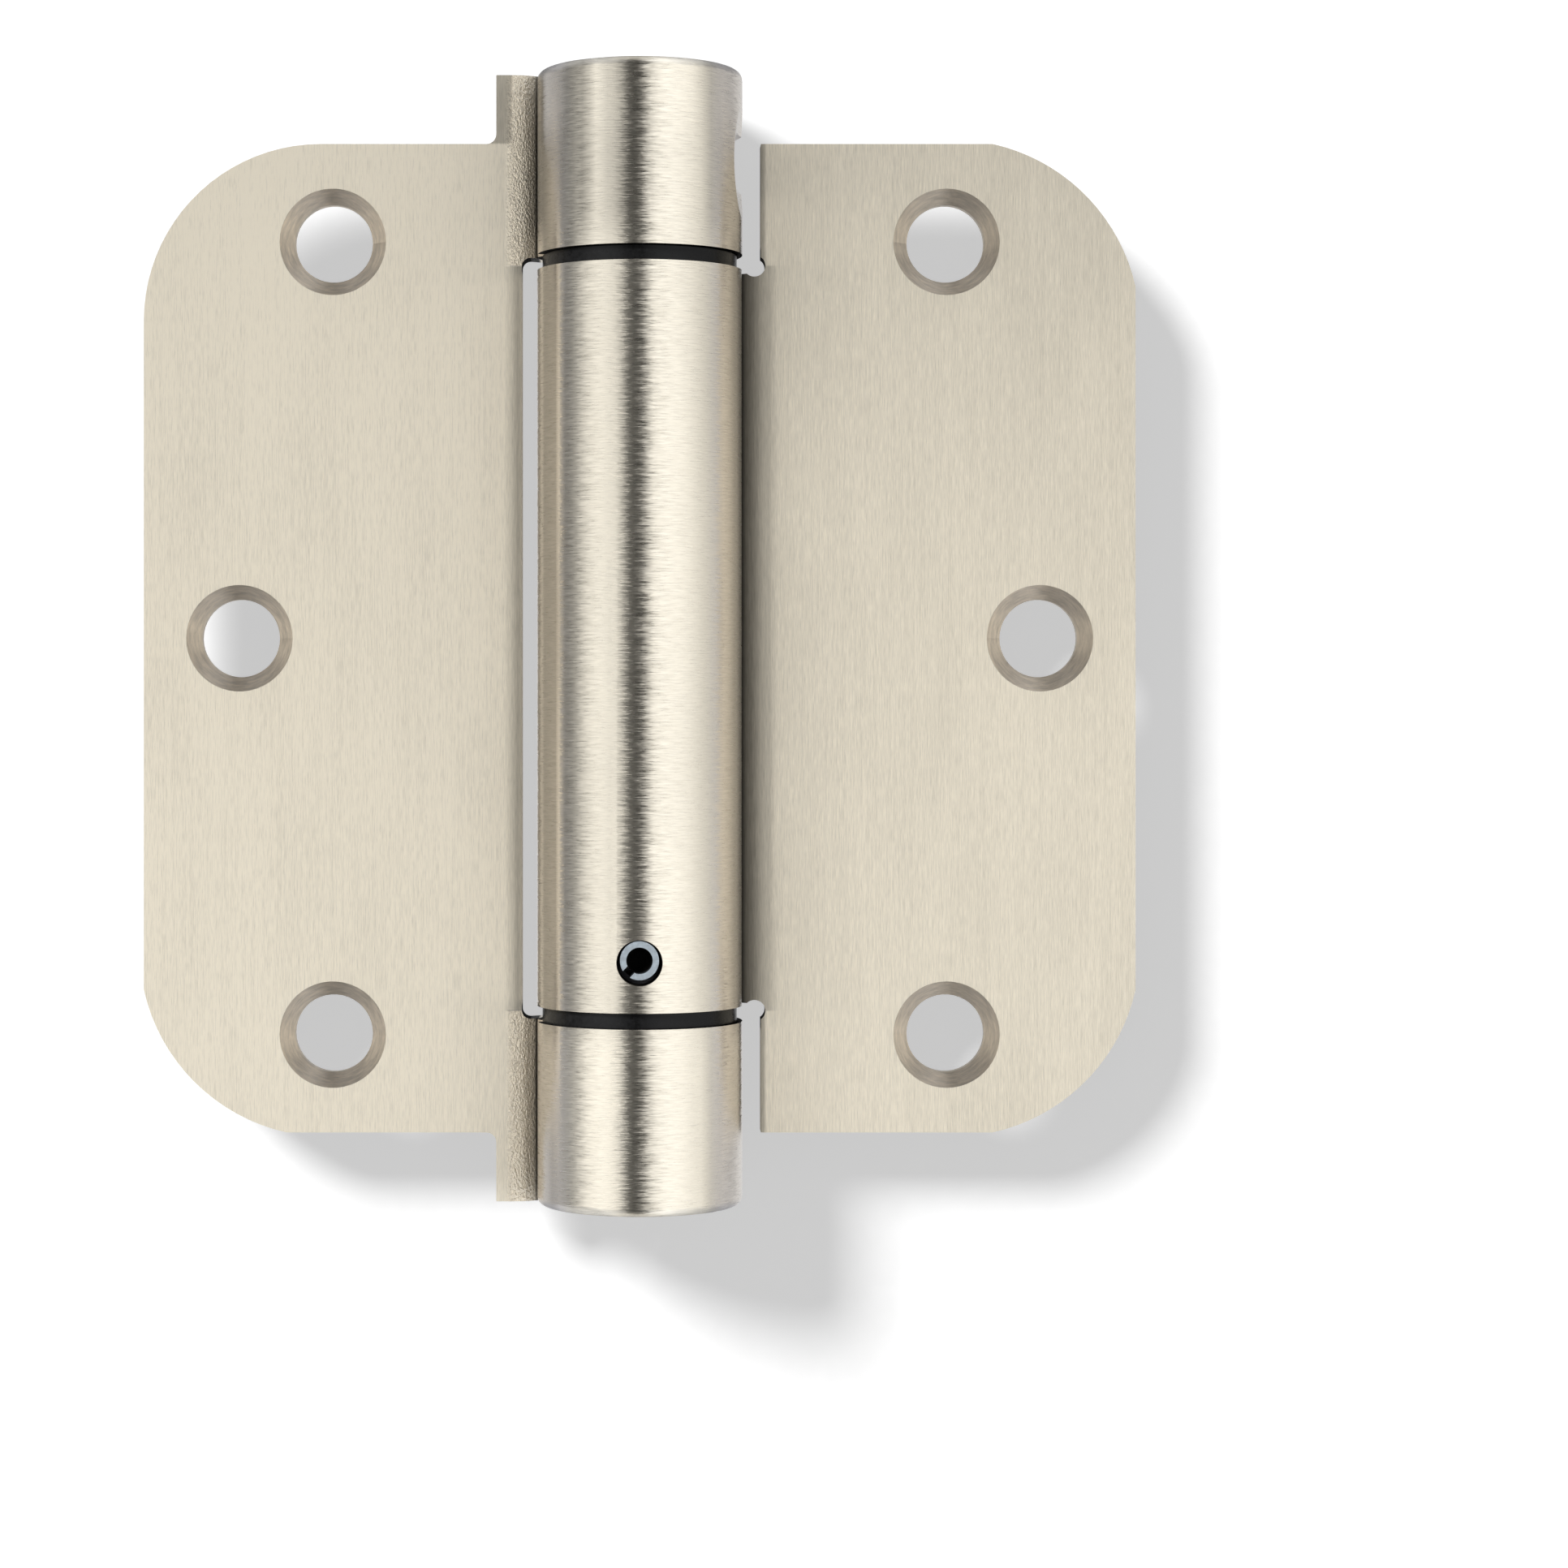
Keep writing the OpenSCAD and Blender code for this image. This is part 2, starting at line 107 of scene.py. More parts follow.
BARREL_SHADE_TOP = [
    (-9.2, 0.28), (-8.6, 0.32), (-8.2, 0.46), (-7.2, 0.80), (-6.4, 0.86), (-5.6, 0.78),
    (-5.0, 0.55), (-4.4, 0.64), (-3.8, 0.80), (-2.8, 0.66), (-1.8, 0.66), (0.4, 0.90),
    (4.6, 0.90), (5.4, 0.86), (6.3, 0.66), (7.4, 0.80), (9.2, 0.72),
]
BARREL_SHADE_CROWN = [
    (-9.2, 0.35), (-8.6, 0.50), (-8.2, 0.85), (-7.4, 1.12), (-6.9, 1.08), (-6.4, 0.86),
    (-5.6, 0.76), (-5.0, 0.60), (-4.4, 0.72), (-3.8, 0.92), (-2.8, 0.74), (-1.8, 0.76),
    (0.4, 0.92), (4.6, 1.0), (5.4, 0.88), (6.3, 0.68), (7.4, 0.92), (9.2, 0.85),
]
# Heights over which the barrel passes from the middle's stops to each of the others
LOW_STEP = (-33.0, -37.0)
TOP_STEP = (33.0, 38.0)
CROWN_STEP = (42.0, 47.0)
# Painted light: brightness of the leaves by height, a little different on each
LIGHT_FALL_LEFT = [(-45.0, 1.06), (10.0, 1.05), (44.0, 1.13)]
LIGHT_FALL_RIGHT = [(-45.0, 0.99), (10.0, 1.0), (44.0, 0.91)]


class Nodes:
    """Short calls for building one node tree."""

    def __init__(self, tree):
        self.tree = tree
        self.tree.nodes.clear()

    def add(self, kind, inputs=(), **settings):
        node = self.tree.nodes.new(kind)
        for name, value in settings.items():
            setattr(node, name, value)
        for key, value in dict(inputs).items():
            self.put(value, node.inputs[key])
        return node

    def put(self, value, socket):
        if isinstance(value, bpy.types.NodeSocket):
            self.tree.links.new(value, socket)
        elif value is not None:
            socket.default_value = value

    def math(self, operation, first, *others):
        """An operation on one value, or on several in a row from left to right."""
        result = first
        for other in others or (None,):
            node = self.add("ShaderNodeMath", {0: result, 1: other}, operation=operation)
            result = node.outputs[0]
        return result

    def vector(self, operation, a, b=None):
        node = self.add("ShaderNodeVectorMath", {0: a, 1: b}, operation=operation)
        return node.outputs["Value" if operation == "LENGTH" else "Vector"]

    def xyz(self, x, y, z):
        return self.add("ShaderNodeCombineXYZ", {0: x, 1: y, 2: z}).outputs[0]

    def grey(self, level):
        return self.xyz(level, level, level)

    def split(self, vector):
        return self.add("ShaderNodeSeparateXYZ", {0: vector}).outputs

    def step(self, value, low, high):
        """0 below low and 1 above high; falls instead where low is above high."""
        limits = {"Value": value, "From Min": low, "From Max": high}
        return self.add("ShaderNodeMapRange", limits, interpolation_type="SMOOTHSTEP").outputs[0]

    def near(self, value, middle, reach, edge):
        """1 close to the middle, and 0 from reach on, with a soft edge inside it."""
        gap = self.math("ABSOLUTE", self.math("SUBTRACT", value, middle))
        return self.step(gap, reach, reach - edge)

    def span(self, value, low, high, to_low, to_high):
        limits = {"Value": value, "From Min": low, "From Max": high,
                  "To Min": to_low, "To Max": to_high}
        return self.add("ShaderNodeMapRange", limits).outputs[0]

    def vary(self, noise, low, high):
        """Spreads the part of a noise that matters, from 0.3 to 0.7, over low to high."""
        return self.span(noise, 0.3, 0.7, low, high)

    def mix(self, factor, a, b):
        return self.add("ShaderNodeMix", {0: factor, 2: a, 3: b}, data_type="FLOAT").outputs[0]

    def mix_vector(self, factor, a, b):
        return self.add("ShaderNodeMix", {0: factor, 4: a, 5: b}, data_type="VECTOR").outputs[1]

    def noise(self, place, scale, detail, roughness):
        """Noise whose grains are finer along each axis by the scale, one or three numbers."""
        if isinstance(scale, tuple):
            place, scale = self.vector("MULTIPLY", place, scale), 1.0
        inputs = {"Vector": place, "Scale": scale, "Detail": detail, "Roughness": roughness}
        return self.add("ShaderNodeTexNoise", inputs).outputs[0]

    def curve(self, value, stops):
        """A level between 0 and 2 that runs straight between (value, level) stops."""
        low, high = stops[0][0], stops[-1][0]
        node = self.add("ShaderNodeValToRGB", {0: self.span(value, low, high, 0.0, 1.0)})
        elements = node.color_ramp.elements
        while len(elements) < len(stops):
            elements.new(1.0)
        for element, (at, level) in zip(elements, stops):
            element.position = (at - low) / (high - low)
            element.color = (level / 2, level / 2, level / 2, 1)
        return self.math("MULTIPLY", node.outputs[0], 2.0)

    def bump(self, height, distance, strength, normal=None):
        inputs = {"Height": height, "Distance": distance, "Strength": strength,
                  "Normal": normal}
        return self.add("ShaderNodeBump", inputs).outputs[0]


def material(name):
    made = bpy.data.materials.new(name)
    made.use_nodes = True
    return made, Nodes(made.node_tree)


def show(n, shader, kind="ShaderNodeOutputMaterial"):
    """Puts a shader's result on the tree's output."""
    out = n.add(kind)
    n.put(shader.outputs[0], out.inputs["Surface"])


def surface(n, inputs):
    show(n, n.add("ShaderNodeBsdfPrincipled", inputs))


def object_place(n):
    """Object coordinates in millimetres."""
    coords = n.add("ShaderNodeTexCoord").outputs["Object"]
    return n.vector("MULTIPLY", coords, (1 / MM, 1 / MM, 1 / MM))


def nickel_regions(n):
    """Places on the leaves, and the shares from 0 to 1 by which a point is in a region."""
    at = SimpleNamespace(place=object_place(n))
    at.x, at.y, at.z = n.split(at.place)
    at.away = n.math("ABSOLUTE", at.x)
    at.up = n.math("ABSOLUTE", at.z)
    at.reach = n.vector("LENGTH", n.xyz(at.x, at.y, 0.0))
    at.normal = n.add("ShaderNodeNewGeometry").outputs["Normal"]
    at.barrel = n.step(at.reach, BARREL_R + 0.25, BARREL_R + 0.1)
    at.left = n.step(at.x, 0.2 - BARREL_R, -BARREL_R)
    at.right = n.step(at.x, BARREL_R - 0.2, BARREL_R)
    at.ends = n.step(at.up, KNUCKLE_SPLIT - 0.1, KNUCKLE_SPLIT + 0.1)
    # The bend beside the top and bottom knuckles kept the press's hammered skin
    at.bend = n.math("MULTIPLY", at.left, n.step(at.reach, BARREL_R + 0.1, BARREL_R + 0.4),
                     n.step(at.reach, BEND_REACH + 0.8, BEND_REACH), at.ends)
    # The spoke runs from the middle of the nearest screw hole to the point
    spokes = [n.xyz(n.math("SUBTRACT", at.away, across), 0.0, n.math("SUBTRACT", at.up, up))
              for across, up in HOLES]
    spans = [n.vector("LENGTH", spoke) for spoke in spokes]
    at.to_hole = n.math("MINIMUM", *spans)
    spoke = n.mix_vector(n.math("LESS_THAN", spans[1], spans[0]), *spokes)
    signs = n.xyz(n.math("SIGN", at.x), 1.0, n.math("SIGN", at.z))
    at.spoke = n.vector("MULTIPLY", spoke, signs)
    at.sink = n.math("MULTIPLY", n.step(at.to_hole, SINK_R + 0.03, SINK_R - 0.03),
                     n.step(at.y, SHEET_BACK - 0.02, SHEET_BACK - 0.1),
                     n.step(at.y, SHEET_FRONT, SHEET_FRONT + 0.03))
    return at


def add_nickel_grain(n, at):
    """Long streaks: up the leaves, round the barrel and round each countersink."""
    fine = n.noise(at.place, (10.0, 10.0, 0.60), 2.0, 0.7)
    coarse = n.noise(at.place, (4.5, 4.5, 0.09), 2.0, 0.6)
    at.leaf_grain = n.mix(0.25, fine, coarse)
    at.barrel_grain = n.noise(at.place, (0.7, 0.7, 8.0), 2.0, 0.6)
    at.ring_grain = n.noise(n.xyz(at.to_hole, at.x, at.z), (5.0, 0.7, 0.7), 3.0, 0.65)
    at.grain = n.mix(at.sink, n.mix(at.barrel, at.leaf_grain, at.barrel_grain), at.ring_grain)


def painted_black_places(n, at):
    """The share that is painted black: painted shade in the barrel's inside, the pin's hole and
    on the rims of the knuckles that face the bearings, and the cut edges where the gaps end."""
    inside = n.step(at.reach, BARREL_R - 1.8, BARREL_R - 2.2)
    from_pin = n.vector("LENGTH", n.xyz(at.x, n.math("SUBTRACT", at.z, PIN_Z), 0.0))
    pin_hole = n.step(from_pin, PIN_HOLE_R + 0.03, PIN_HOLE_R)
    _, facing_back, facing_up = n.split(at.normal)
    rim = n.math("MULTIPLY", n.step(n.math("ABSOLUTE", facing_up), 0.7, 0.9),
                 n.near(at.up, 34.0, 6.0, 2.0), at.barrel)
    cut = n.step(n.math("ABSOLUTE", facing_back), 0.6, 0.4)
    gap_end_black = n.math("MULTIPLY", n.near(at.up, GAP_END[1], 1.2, 0.3),
                  n.near(at.away, GAP_END[0], 1.5, 0.3), cut,
                  n.math("SUBTRACT", 1.0, at.barrel))
    return n.math("MAXIMUM", inside, pin_hole, rim, gap_end_black)


def nickel_shade(n, at):
    """Painted light and shade on the nickel, as brightness by place."""
    # Painted shade in the crevices and along the inner edges, with a painted highlight on the
    # ridge
    left = n.mix(at.ends, n.curve(at.away, INNER_SHADE_LEFT), n.curve(at.reach, CREVICE_SHADE_LEFT))
    right = n.mix(at.ends, n.curve(at.reach, CREVICE_SHADE_RIGHT), n.curve(at.away, INNER_SHADE_RIGHT))
    leaves = n.mix(at.right, n.mix(at.left, 1.0, left), right)
    # Painted reflections and shade on the barrel, by height
    lower = n.mix(n.step(at.z, *LOW_STEP), n.curve(at.x, BARREL_SHADE_MIDDLE),
                  n.curve(at.x, BARREL_SHADE_LOW))
    upper = n.mix(n.step(at.z, *CROWN_STEP), n.curve(at.x, BARREL_SHADE_TOP),
                  n.curve(at.x, BARREL_SHADE_CROWN))
    barrel = n.mix(n.step(at.z, *TOP_STEP), lower, upper)
    # Painted shade: the upper tab is darker than the plate
    tab_shade = n.math("MULTIPLY", n.step(at.z, LEAF_TOP - 0.1, LEAF_TOP + 0.15), at.left,
                 n.step(at.x, -11.2, -11.7))
    # Painted light: the leaves grow brighter or darker with height
    light_fall = n.mix(n.step(at.x, -2.0, 2.0), n.curve(at.z, LIGHT_FALL_LEFT),
                 n.curve(at.z, LIGHT_FALL_RIGHT))
    return n.math("MULTIPLY", n.mix(at.barrel, leaves, barrel), n.mix(tab_shade, 1.0, 0.58),
                  n.mix(at.barrel, light_fall, 1.0))


def nickel_color(n, at, dark):
    patches = n.noise(at.place, (0.16, 0.16, 0.05), 2.0, 0.5)
    streaks = n.mix(at.barrel, n.vary(at.grain, 0.80, 1.20), n.vary(at.grain, 0.84, 1.14))
    # The tone takes in the painted light and shade, and the places painted black
    tone = n.math("MULTIPLY", streaks, n.vary(patches, 0.97, 1.03), nickel_shade(n, at),
                  n.mix(at.sink, 1.0, 0.70), n.mix(dark, 1.0, DARK_TONE))
    flank = n.math("MULTIPLY", at.barrel, n.step(at.away, 5.6, 7.4))
    tint = n.mix_vector(flank, PLATE_TINT, FLANK_TINT)
    tint = n.mix_vector(at.sink, tint, SINK_TINT)
    tint = n.mix_vector(at.bend, tint, BEND_TINT)
    return n.vector("MULTIPLY", tint, n.grey(n.math("MINIMUM", tone, MOST_TONE)))


def nickel_relief(n, at, across):
    """The normal with the grain and the hammered skin, whose heights are in millimetres."""
    # The streaks round the barrel turn its surface a little to either side
    sway = n.math("MULTIPLY", n.math("SUBTRACT", at.barrel_grain, 0.5),
                  n.mix(at.barrel, 0.0, 0.20))
    swayed = n.vector("MULTIPLY", across, n.grey(sway))
    twisted = n.vector("NORMALIZE", n.vector("ADD", at.normal, swayed))
    hammered = n.noise(at.place, (5.5, 5.5, 3.6), 2.0, 0.55)
    leaf = n.math("ADD", n.math("MULTIPLY", at.leaf_grain, n.mix(at.bend, 0.010, 0.004)),
                  n.math("MULTIPLY", hammered, n.mix(at.bend, 0.0, 0.20)))
    barrel = n.math("MULTIPLY", at.barrel_grain, 0.030)
    ring = n.math("MULTIPLY", at.ring_grain, 0.030)
    return n.bump(n.mix(at.sink, n.mix(at.barrel, leaf, barrel), ring), MM, 1.0, twisted)


def satin_nickel():
    """Brushed plate: grain up the leaves and round the knuckles, darker turned countersinks,
    hammered bends, painted light, shade and reflections, and places painted black as shade."""
    made, n = material("satin_nickel")
    at = nickel_regions(n)
    add_nickel_grain(n, at)
    dark = painted_black_places(n, at)
    # Both directions lean a little off the axis, so that end faces get a grain too
    across = n.vector("CROSS_PRODUCT", (0.0, 0.02, 1.0), at.normal)
    tangent = n.mix_vector(at.barrel, across, (0.02, 0.02, 1.0))
    roughness = n.mix(at.bend, PLATE_ROUGHNESS, BEND_ROUGHNESS)
    roughness = n.mix(at.barrel, roughness, BARREL_ROUGHNESS)
    roughness = n.mix(at.sink, roughness, SINK_ROUGHNESS)
    roughness = n.math("ADD", roughness, n.vary(at.grain, -0.04, 0.04))
    surface(n, {
        "Base Color": nickel_color(n, at, dark),
        "Metallic": n.mix(dark, 1.0, 0.0),
        "Roughness": n.mix(dark, roughness, DARK_ROUGHNESS),
        "IOR": 1.2,
        "Anisotropic": 0.95,
        "Tangent": n.mix_vector(at.sink, tangent, at.spoke),
        "Normal": nickel_relief(n, at, across),
    })
    return made


def turned_steel(name, color, roughness):
    """Steel from a lathe, with fine rings."""
    made, n = material(name)
    place = object_place(n)
    x, y, z = n.split(place)
    reach = n.vector("LENGTH", n.xyz(x, y, 0.0))
    rings = n.noise(n.xyz(reach, 0.0, z), 9.0, 2.0, 0.6)
    stains = n.noise(place, 0.6, 3.0, 0.6)
    tone = n.math("MULTIPLY", n.vary(rings, 0.88, 1.05), n.vary(stains, 0.90, 1.05))
    surface(n, {
        "Base Color": n.vector("MULTIPLY", color, n.grey(tone)),
        "Metallic": 1.0,
        "Roughness": n.vary(stains, roughness - 0.06, roughness + 0.08),
        "Normal": n.bump(rings, 0.02 * MM, 0.6),
    })
    return made


def black_plastic():
    """Moulded black plastic, glossy, with faint rings and dust."""
    made, n = material("black_plastic")
    place = object_place(n)
    rings = n.noise(place, (0.0, 0.0, 5.0), 2.0, 0.5)
    specks = n.noise(place, 2.2, 4.0, 0.65)
    tone = n.span(specks, 0.35, 0.75, 0.004, 0.012)
    surface(n, {
        "Base Color": n.xyz(tone, tone, n.math("MULTIPLY", tone, 1.04)),
        "Roughness": n.vary(specks, 0.24, 0.36),
        "IOR": 1.27,
        "Normal": n.bump(n.math("ADD", rings, n.math("MULTIPLY", specks, 0.3)), 0.03 * MM, 0.5),
    })
    return made


def zinc_plate():
    """Bluish zinc on the small pins, with a mottled, slightly worn skin."""
    made, n = material("zinc_plate")
    place = object_place(n)
    x, _, z = n.split(place)
    mottle = n.noise(place, 2.6, 4.0, 0.6)
    scratch = n.noise(place, (1.0, 0.6, 8.0), 2.0, 0.5)
    # Painted shade: the roll pin's bore is painted nearly black
    above_pin = n.math("SUBTRACT", z, PIN_Z + PIN_LIFT)
    from_pin = n.vector("LENGTH", n.xyz(x, above_pin, 0.0))
    bore = n.math("MULTIPLY", n.step(from_pin, PIN_BORE_R + 0.03, PIN_BORE_R),
                  n.step(z, -20.0, -21.0))
    tone = n.math("MULTIPLY", n.vary(mottle, 0.86, 1.06), n.vary(scratch, 0.94, 1.04),
                  n.mix(bore, 1.0, 0.03))
    surface(n, {
        "Base Color": n.vector("MULTIPLY", (0.58, 0.65, 0.69), n.grey(tone)),
        "Metallic": n.mix(bore, 1.0, 0.0),
        "Roughness": n.mix(bore, n.vary(mottle, 0.44, 0.60), 0.9),
        "IOR": 1.2,
        "Normal": n.bump(mottle, 0.05 * MM, 1.0),
    })
    return made


def spring_wire():
    """Dark oiled wire with drawing marks."""
    made, n = material("spring_wire")
    place = object_place(n)
    marks = n.noise(place, (0.5, 0.5, 9.0), 3.0, 0.6)
    oil = n.noise(place, 0.8, 2.0, 0.5)
    tone = n.math("MULTIPLY", n.vary(marks, 0.80, 1.10), n.vary(oil, 0.85, 1.10))
    surface(n, {
        "Base Color": n.vector("MULTIPLY", (0.16, 0.16, 0.17), n.grey(tone)),
        "Metallic": 1.0,
        "Roughness": n.vary(oil, 0.28, 0.42),
        "Normal": n.bump(marks, 0.02 * MM, 0.6),
    })
    return made


def bore_shade_black():
    """A nearly black stand-in for shade, with a dull, lumpy surface."""
    made, n = material("bore_shade_black")
    lumps = n.noise(object_place(n), 3.0, 3.0, 0.6)
    tone = n.vary(lumps, 0.002, 0.008)
    surface(n, {
        "Base Color": n.xyz(tone, n.math("MULTIPLY", tone, 0.9), n.math("MULTIPLY", tone, 0.8)),
        "Roughness": n.vary(lumps, 0.60, 0.85),
        "IOR": 1.2,
        "Normal": n.bump(lumps, 0.1 * MM, 1.0),
    })
    return made


def dress_nodes():
    """Gives each CAD node its material."""
    nickel = satin_nickel()
    steel = turned_steel("turned_steel", (0.50, 0.50, 0.52), 0.34)
    # The spindle's steel is painted dark as shade, for it shows only deep in the gaps
    shade_dark_steel = turned_steel("shade_dark_steel", (0.10, 0.10, 0.105), 0.40)
    plastic = black_plastic()
    zinc = zinc_plate()
    finishes = {
        "frame_leaf": nickel,
        "door_leaf": nickel,
        "upper_bearing": plastic,
        "lower_bearing": plastic,
        "tension_adjuster": steel,
        "lower_spindle": shade_dark_steel,
        "bottom_plug": steel,
        "tension_pin": zinc,
        "roll_pin": zinc,
        "torsion_spring": spring_wire(),
    }
    for cad_node, made in finishes.items():
        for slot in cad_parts[cad_node].material_slots:
            slot.material = made


def add_object(name, data):
    made = bpy.data.objects.new(name, data)
    bpy.context.scene.collection.objects.link(made)
    return made


def mesh_object(name, vertices, faces):
    mesh = bpy.data.meshes.new(name)
    mesh.from_pydata(vertices, [], faces)
    mesh.update()
    return add_object(name, mesh)


# The dished ends of the black plug of painted shade in millimetres, from beside the middle of
# the dish out to its rim: place along the bore, and distance from the bore's axis
PLUG_END = ((6.65, 0.45), (6.9, 0.85), (7.2, 1.08), (7.25, 1.2))
# Place of the middle of the dish along the bore
PLUG_DISH = 6.6
PLUG_SIDES = 32


def make_bore_shade_plug():
    """A nearly black plug in the roll pin's bore, put there as painted shade, dished and lumpy
    at both ends, so that nothing shows through the pin."""
    rows = [(-along, wide) for along, wide in PLUG_END] + list(reversed(PLUG_END))
    axis_z = PIN_Z + PIN_LIFT
    vertices, faces = [], []
    for row, (along, wide) in enumerate(rows, 1):
        for i in range(PLUG_SIDES):
            turn = 2 * math.pi * i / PLUG_SIDES
            wave = 0.05 * math.sin(3 * turn + row) + 0.03 * math.sin(5 * turn + 2 * row)
            vertices.append((wide * math.cos(turn) * MM, (along + wave * wide) * MM,
                             (axis_z + wide * math.sin(turn)) * MM))
    front, back = len(vertices), len(vertices) + 1
    for along in (-PLUG_DISH, PLUG_DISH):
        vertices.append((0.0, along * MM, axis_z * MM))
    last = (len(rows) - 1) * PLUG_SIDES
    for i in range(PLUG_SIDES):
        j = (i + 1) % PLUG_SIDES
        faces.append((front, i, j))
        faces.append((back, last + j, last + i))
        for start in range(0, last, PLUG_SIDES):
            above = start + PLUG_SIDES
            faces.append((start + i, above + i, above + j, start + j))
    plug = mesh_object("pin_bore_shade", vertices, faces)
    for polygon in plug.data.polygons:
        polygon.use_smooth = True
    plug.data.materials.append(bore_shade_black())
    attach(plug, "door_side")


WHITE = (1, 1, 1, 1)
# The board stands just behind the barrel
BOARD_Y = (BARREL_R + 0.1) * MM
BOARD_HALF = 2.0
# The board's own light and its paper's colour add up to white where no shadow falls
BOARD_GLOW = 0.555
PAPER = (0.57, 0.60)
PAPER_GRAIN = 900.0


def make_floor():
    """The white board that the hinge lies on. It is clear from behind, takes no part in
    the lighting, and shows the hinge's shadow."""
    corners = ((-1, -1), (1, -1), (1, 1), (-1, 1))
    board = mesh_object("floor", [(BOARD_HALF * side, BOARD_Y, BOARD_HALF * level)
                                  for side, level in corners], [(0, 1, 2, 3)])
    made, n = material("white_board")
    coords = n.add("ShaderNodeTexCoord").outputs["Object"]
    paper = n.vary(n.noise(coords, PAPER_GRAIN, 2.0, 0.5), *PAPER)
    glow = n.add("ShaderNodeEmission", {"Color": WHITE, "Strength": BOARD_GLOW})
    matt = n.add("ShaderNodeBsdfDiffuse", {"Color": n.grey(paper)})
    lit = n.add("ShaderNodeAddShader", {0: glow.outputs[0], 1: matt.outputs[0]})
    back = n.add("ShaderNodeNewGeometry").outputs["Backfacing"]
    clear = n.add("ShaderNodeBsdfTransparent")
    show(n, n.add("ShaderNodeMixShader", {0: back, 1: lit.outputs[0], 2: clear.outputs[0]}))
    board.data.materials.append(made)
    board.visible_shadow = False
    board.visible_diffuse = False
    board.visible_glossy = False
    board.visible_transmission = False


# Light and dark panels stand in a ring round the hinge, and only reflections show them.
# The band lies round the horizon, and the field above and below it. Each stop is a
# direction from the front round to the right in degrees, and the level there.
BAND = [
    (-180, 0.70), (-150, 0.85), (-122, 0.65), (-104, 0.28), (-90, 0.20), (-78, 0.35),
    (-68, 0.85), (-58, 1.34), (-44, 1.60), (-28, 1.47), (-19, 0.85), (-14, 0.10), (2, 0.10),
    (8, 0.80), (16, 1.35), (30, 1.50), (50, 1.45), (66, 1.30), (80, 1.10), (100, 0.75),
    (125, 0.65), (150, 0.85), (180, 0.70),
]
FIELD = [
    (-180, 0.30), (-165, 0.36), (-140, 0.38), (-116, 0.48), (-100, 0.62), (-94, 0.50),
    (-86, 0.40), (-79, 0.50), (-59, 0.53), (-49, 0.65), (-39, 0.55), (-30, 0.36),
    (-20, 0.27), (-14, 0.0), (2, 0.0), (8, 0.35), (16, 0.70), (34, 1.00), (45, 1.00),
    (54, 0.90), (65, 0.72), (76, 0.52), (88, 0.47), (101, 0.47), (120, 0.40), (145, 0.38),
    (165, 0.36), (180, 0.30),
]
# How the field's level changes with the height of the direction, in radians
FIELD_RISE = [
    (-1.25, 1.90), (-0.95, 1.70), (-0.75, 1.20), (-0.50, 1.40), (-0.30, 1.22), (0.0, 1.0),
    (0.30, 0.84), (0.50, 0.80), (0.75, 1.20), (0.95, 1.90), (1.25, 2.0),
]
FIELD_TINT = (0.96, 1.0, 1.10)
# Heights of direction between which the band gives way to the field
BAND_EDGE = (0.26, 0.42)
PANEL_REACH = 0.9
PANEL_HEIGHT = 3.0
PANEL_SIDES = 96


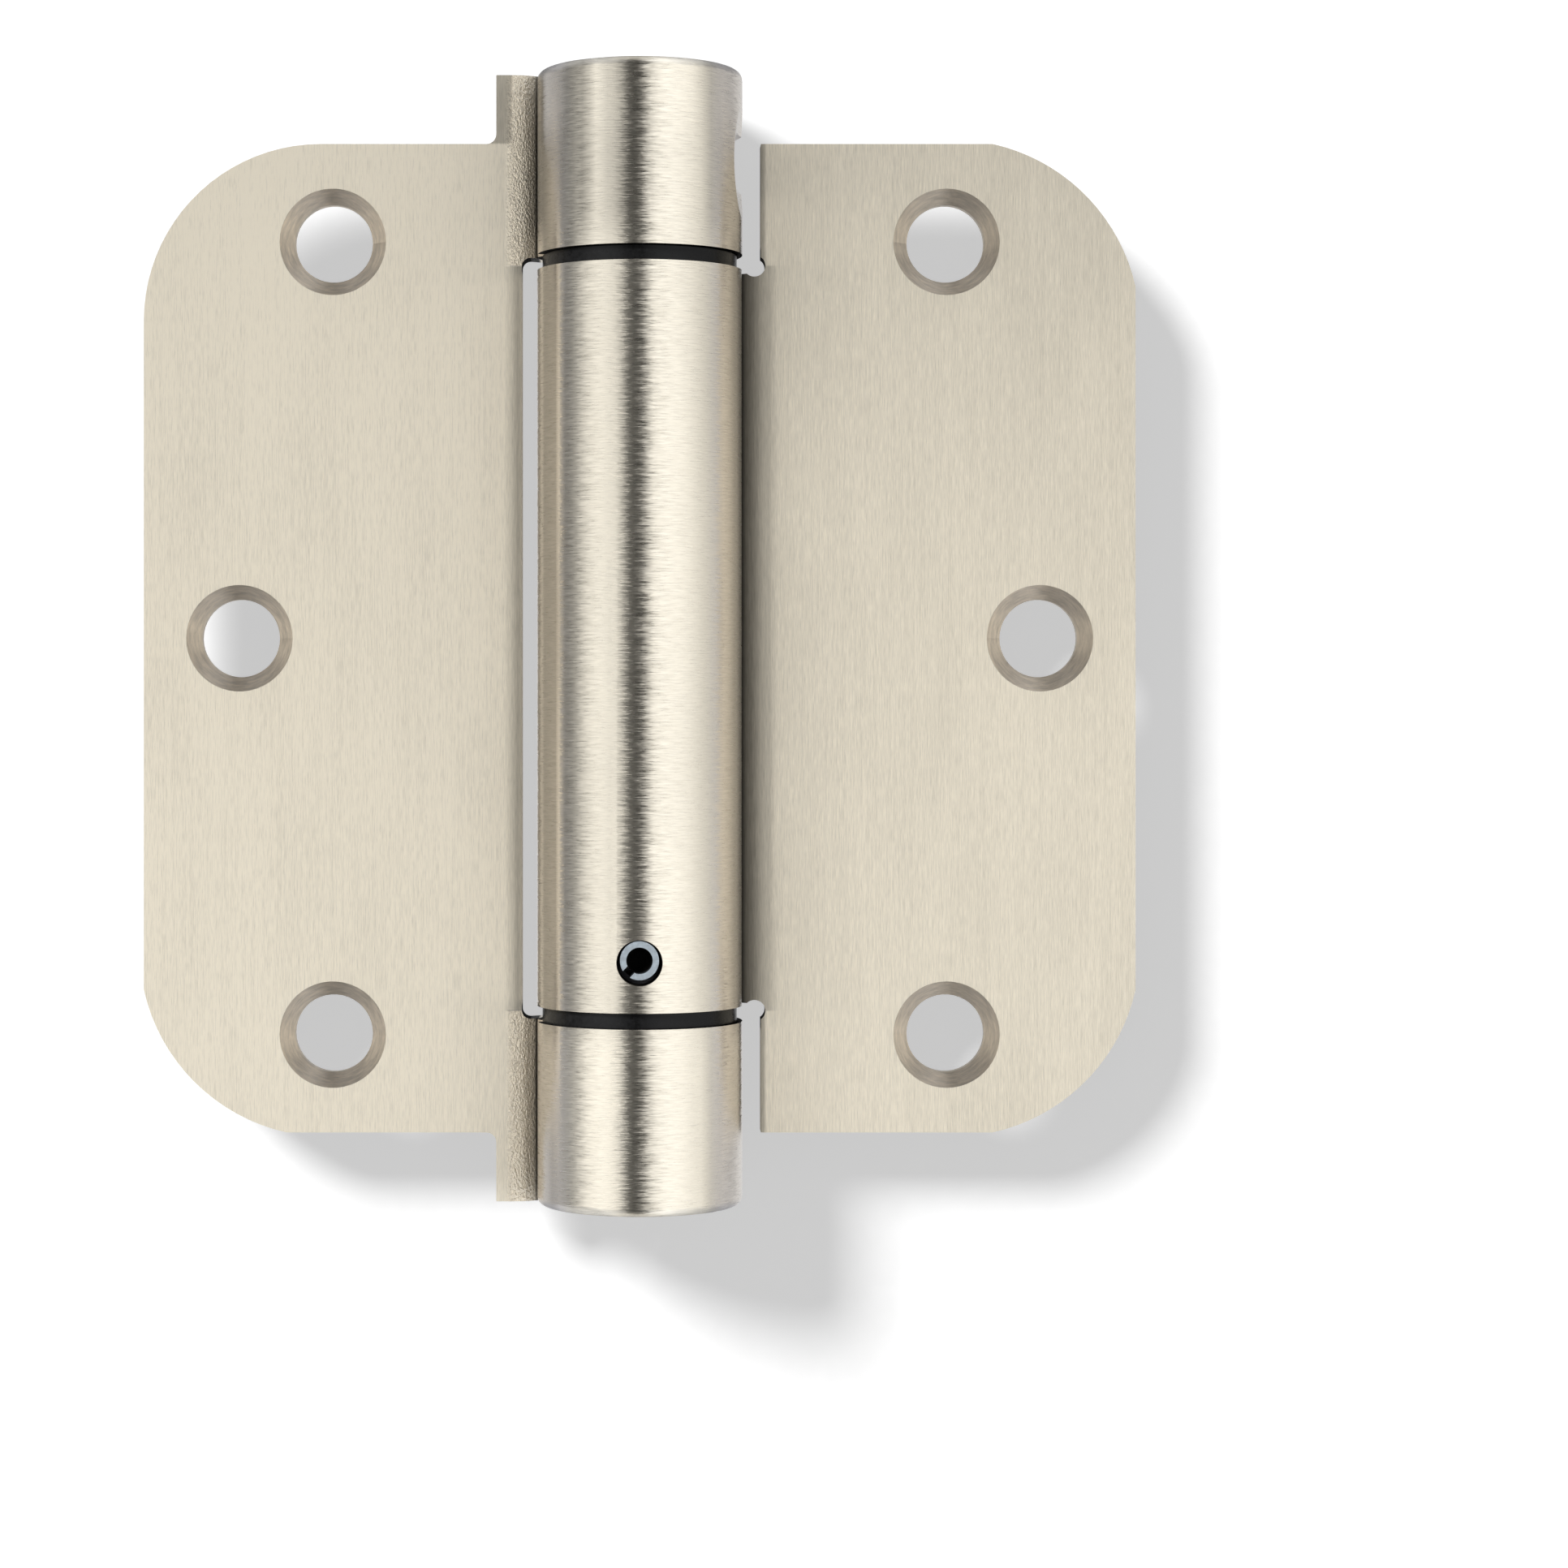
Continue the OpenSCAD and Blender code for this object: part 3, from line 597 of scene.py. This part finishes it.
def make_panels():
    """The ring of panels. It lights nothing but the reflections in the metal."""
    angles = [2 * math.pi * i / PANEL_SIDES for i in range(PANEL_SIDES)]
    vertices = [(PANEL_REACH * math.sin(angle), -PANEL_REACH * math.cos(angle), height)
                for height in (-PANEL_HEIGHT, PANEL_HEIGHT) for angle in angles]
    faces = []
    for i in range(PANEL_SIDES):
        j = (i + 1) % PANEL_SIDES
        faces.append((i, j, PANEL_SIDES + j, PANEL_SIDES + i))
    panels = mesh_object("studio_panels", vertices, faces)
    made, n = material("panels")
    x, y, z = n.split(n.add("ShaderNodeTexCoord").outputs["Object"])
    turn = n.math("MULTIPLY", n.math("ARCTAN2", x, n.math("MULTIPLY", y, -1.0)), 180 / math.pi)
    rise = n.math("ARCTAN2", z, PANEL_REACH)
    band = n.math("MULTIPLY", n.curve(turn, BAND), n.span(rise, -0.2, 0.2, 1.13, 0.91))
    field = n.math("MULTIPLY", n.curve(turn, FIELD), n.curve(rise, FIELD_RISE))
    level = n.mix_vector(n.step(n.math("ABSOLUTE", rise), *BAND_EDGE), n.grey(band),
                         n.vector("MULTIPLY", n.grey(field), FIELD_TINT))
    # The floor isn't lit by what the metal reflects of the panels
    direct = n.math("LESS_THAN", n.add("ShaderNodeLightPath").outputs["Diffuse Depth"], 0.5)
    show(n, n.add("ShaderNodeEmission", {"Color": level, "Strength": direct}))
    panels.data.materials.append(made)
    panels.visible_camera = False
    panels.visible_diffuse = False
    panels.visible_shadow = False
    panels.visible_transmission = False


WORLD_LIGHT = 0.10


def make_world():
    """A white background that lights the hinge only faintly."""
    world = bpy.data.worlds.new("studio")
    bpy.context.scene.world = world
    world.use_nodes = True
    n = Nodes(world.node_tree)
    path = n.add("ShaderNodeLightPath").outputs
    seen = n.math("MAXIMUM", path["Is Camera Ray"], path["Is Glossy Ray"],
                  path["Is Transmission Ray"])
    strength = n.mix(seen, WORLD_LIGHT, 1.0)
    show(n, n.add("ShaderNodeBackground", {"Color": WHITE, "Strength": strength}),
         "ShaderNodeOutputWorld")


KEY_DIRECTION = Vector((0.98, 1.0, -0.90))
KEY_STRENGTH = 4.8
KEY_ANGLE = math.radians(19)


def make_key_light():
    """A large soft lamp at the upper left in front, which casts the shadow."""
    lamp = bpy.data.lights.new("key", "SUN")
    lamp.energy = KEY_STRENGTH
    lamp.angle = KEY_ANGLE
    key = add_object("key", lamp)
    key.rotation_euler = KEY_DIRECTION.to_track_quat("-Z", "Y").to_euler()
    key.visible_glossy = False


CAMERA_PLACE = (0.5 * MM, -320 * MM, -5 * MM)
CAMERA_LENS = 82.0
CAMERA_SHIFT = (0.0885, -0.0575)


def make_camera():
    """A level camera in front, shifted so that the hinge stands where the photo has it."""
    data = bpy.data.cameras.new("camera")
    data.sensor_width = 36.0
    data.lens = CAMERA_LENS
    data.shift_x, data.shift_y = CAMERA_SHIFT
    data.clip_start = 0.01
    data.clip_end = 20.0
    camera = add_object("camera", data)
    camera.location = CAMERA_PLACE
    camera.rotation_euler = (math.pi / 2, 0, 0)
    bpy.context.scene.camera = camera


dress_nodes()
make_bore_shade_plug()
make_floor()
make_panels()
make_world()
make_key_light()
make_camera()
bpy.context.scene.view_settings.view_transform = "Standard"
